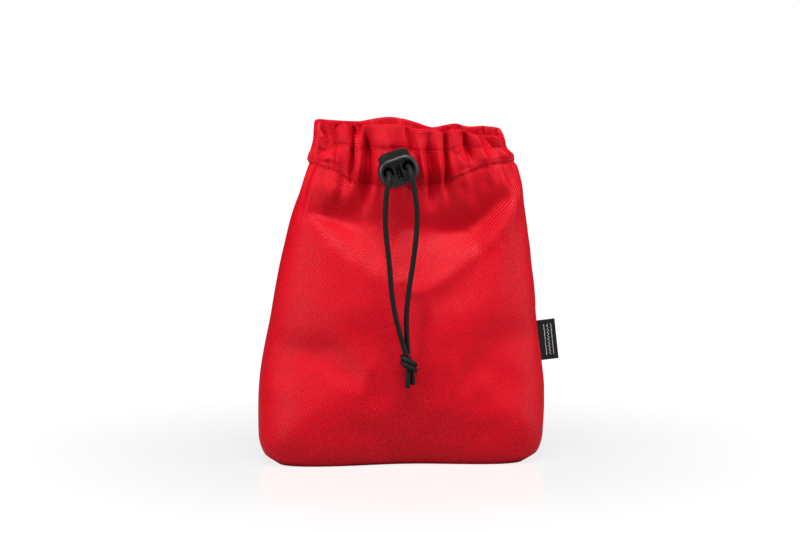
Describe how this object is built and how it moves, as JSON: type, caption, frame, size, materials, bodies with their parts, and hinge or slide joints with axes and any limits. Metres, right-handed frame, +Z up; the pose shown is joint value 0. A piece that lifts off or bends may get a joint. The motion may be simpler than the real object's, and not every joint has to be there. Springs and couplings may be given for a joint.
{
  "type": "drawstring pouch",
  "caption": "Small gathered twill drawstring pouch with a boxed base, a corded casing, a sprung two-hole cord lock, a knotted cord end and a side label.",
  "frame": {"origin": "middle of the flat base that the pouch stands on", "axes": "+Z up to the mouth, -Y out of the front where the cord lock sits, +X towards the side with the label"},
  "size_m": [0.1601, 0.0766, 0.177],
  "materials": {
    "twill": "matte woven twill",
    "seam_binding": "overlocked cloth edge",
    "thread": "matte sewing thread",
    "cord": "braided polyester",
    "lock_plastic": "fine moulded satin",
    "spring_steel": "drawn wire",
    "label_tape": "woven ribbon"
  },
  "bodies": {
    "bag": {"front_panel": "twill", "back_panel": "twill", "front_hem": "twill", "back_hem": "twill", "left_buttonhole": "thread", "right_buttonhole": "thread", "left_side_seam": "seam_binding", "right_side_seam": "seam_binding", "left_corner_seam": "seam_binding", "right_corner_seam": "seam_binding", "bottom_seam": "seam_binding", "lower_casing_thread": "thread", "upper_casing_thread": "thread", "drawcord": "cord"},
    "lock": {"lock_body": "lock_plastic", "lock_spring": "spring_steel"},
    "plunger": {"lock_plunger": "lock_plastic"},
    "cord_end": {"cord_leg_left": "cord", "cord_leg_right": "cord", "cord_knot": "cord", "cord_tail_left": "cord", "cord_tail_right": "cord"},
    "label": {"side_label": "label_tape"}
  },
  "joints": [
    {"name": "lock_slide", "type": "slide", "parent": "bag", "child": "lock", "axis": [0, -1, 0], "range_m": [0, 0.02]},
    {"name": "plunger_press", "type": "slide", "parent": "lock", "child": "plunger", "axis": [0.3338, 0, -0.9426], "range_m": [0, 0.003], "stiffness_N_per_m": 900, "springref_m": -0.002, "deforming": ["lock_spring"]},
    {"name": "cord_swing", "type": "hinge", "parent": "lock", "child": "cord_end", "pos_m": [-0.0032, -0.0392, 0.1551], "axis": [-0.9426, 0, -0.3338], "range_deg": [0, 85]},
    {"name": "label_fold", "type": "hinge", "parent": "bag", "child": "label", "pos_m": [0.0748, 0, 0.0622], "axis": [-0.1115, 0, 0.9938], "range_deg": [-75, 75], "stiffness_Nm_per_rad": 0.0002}
  ]
}
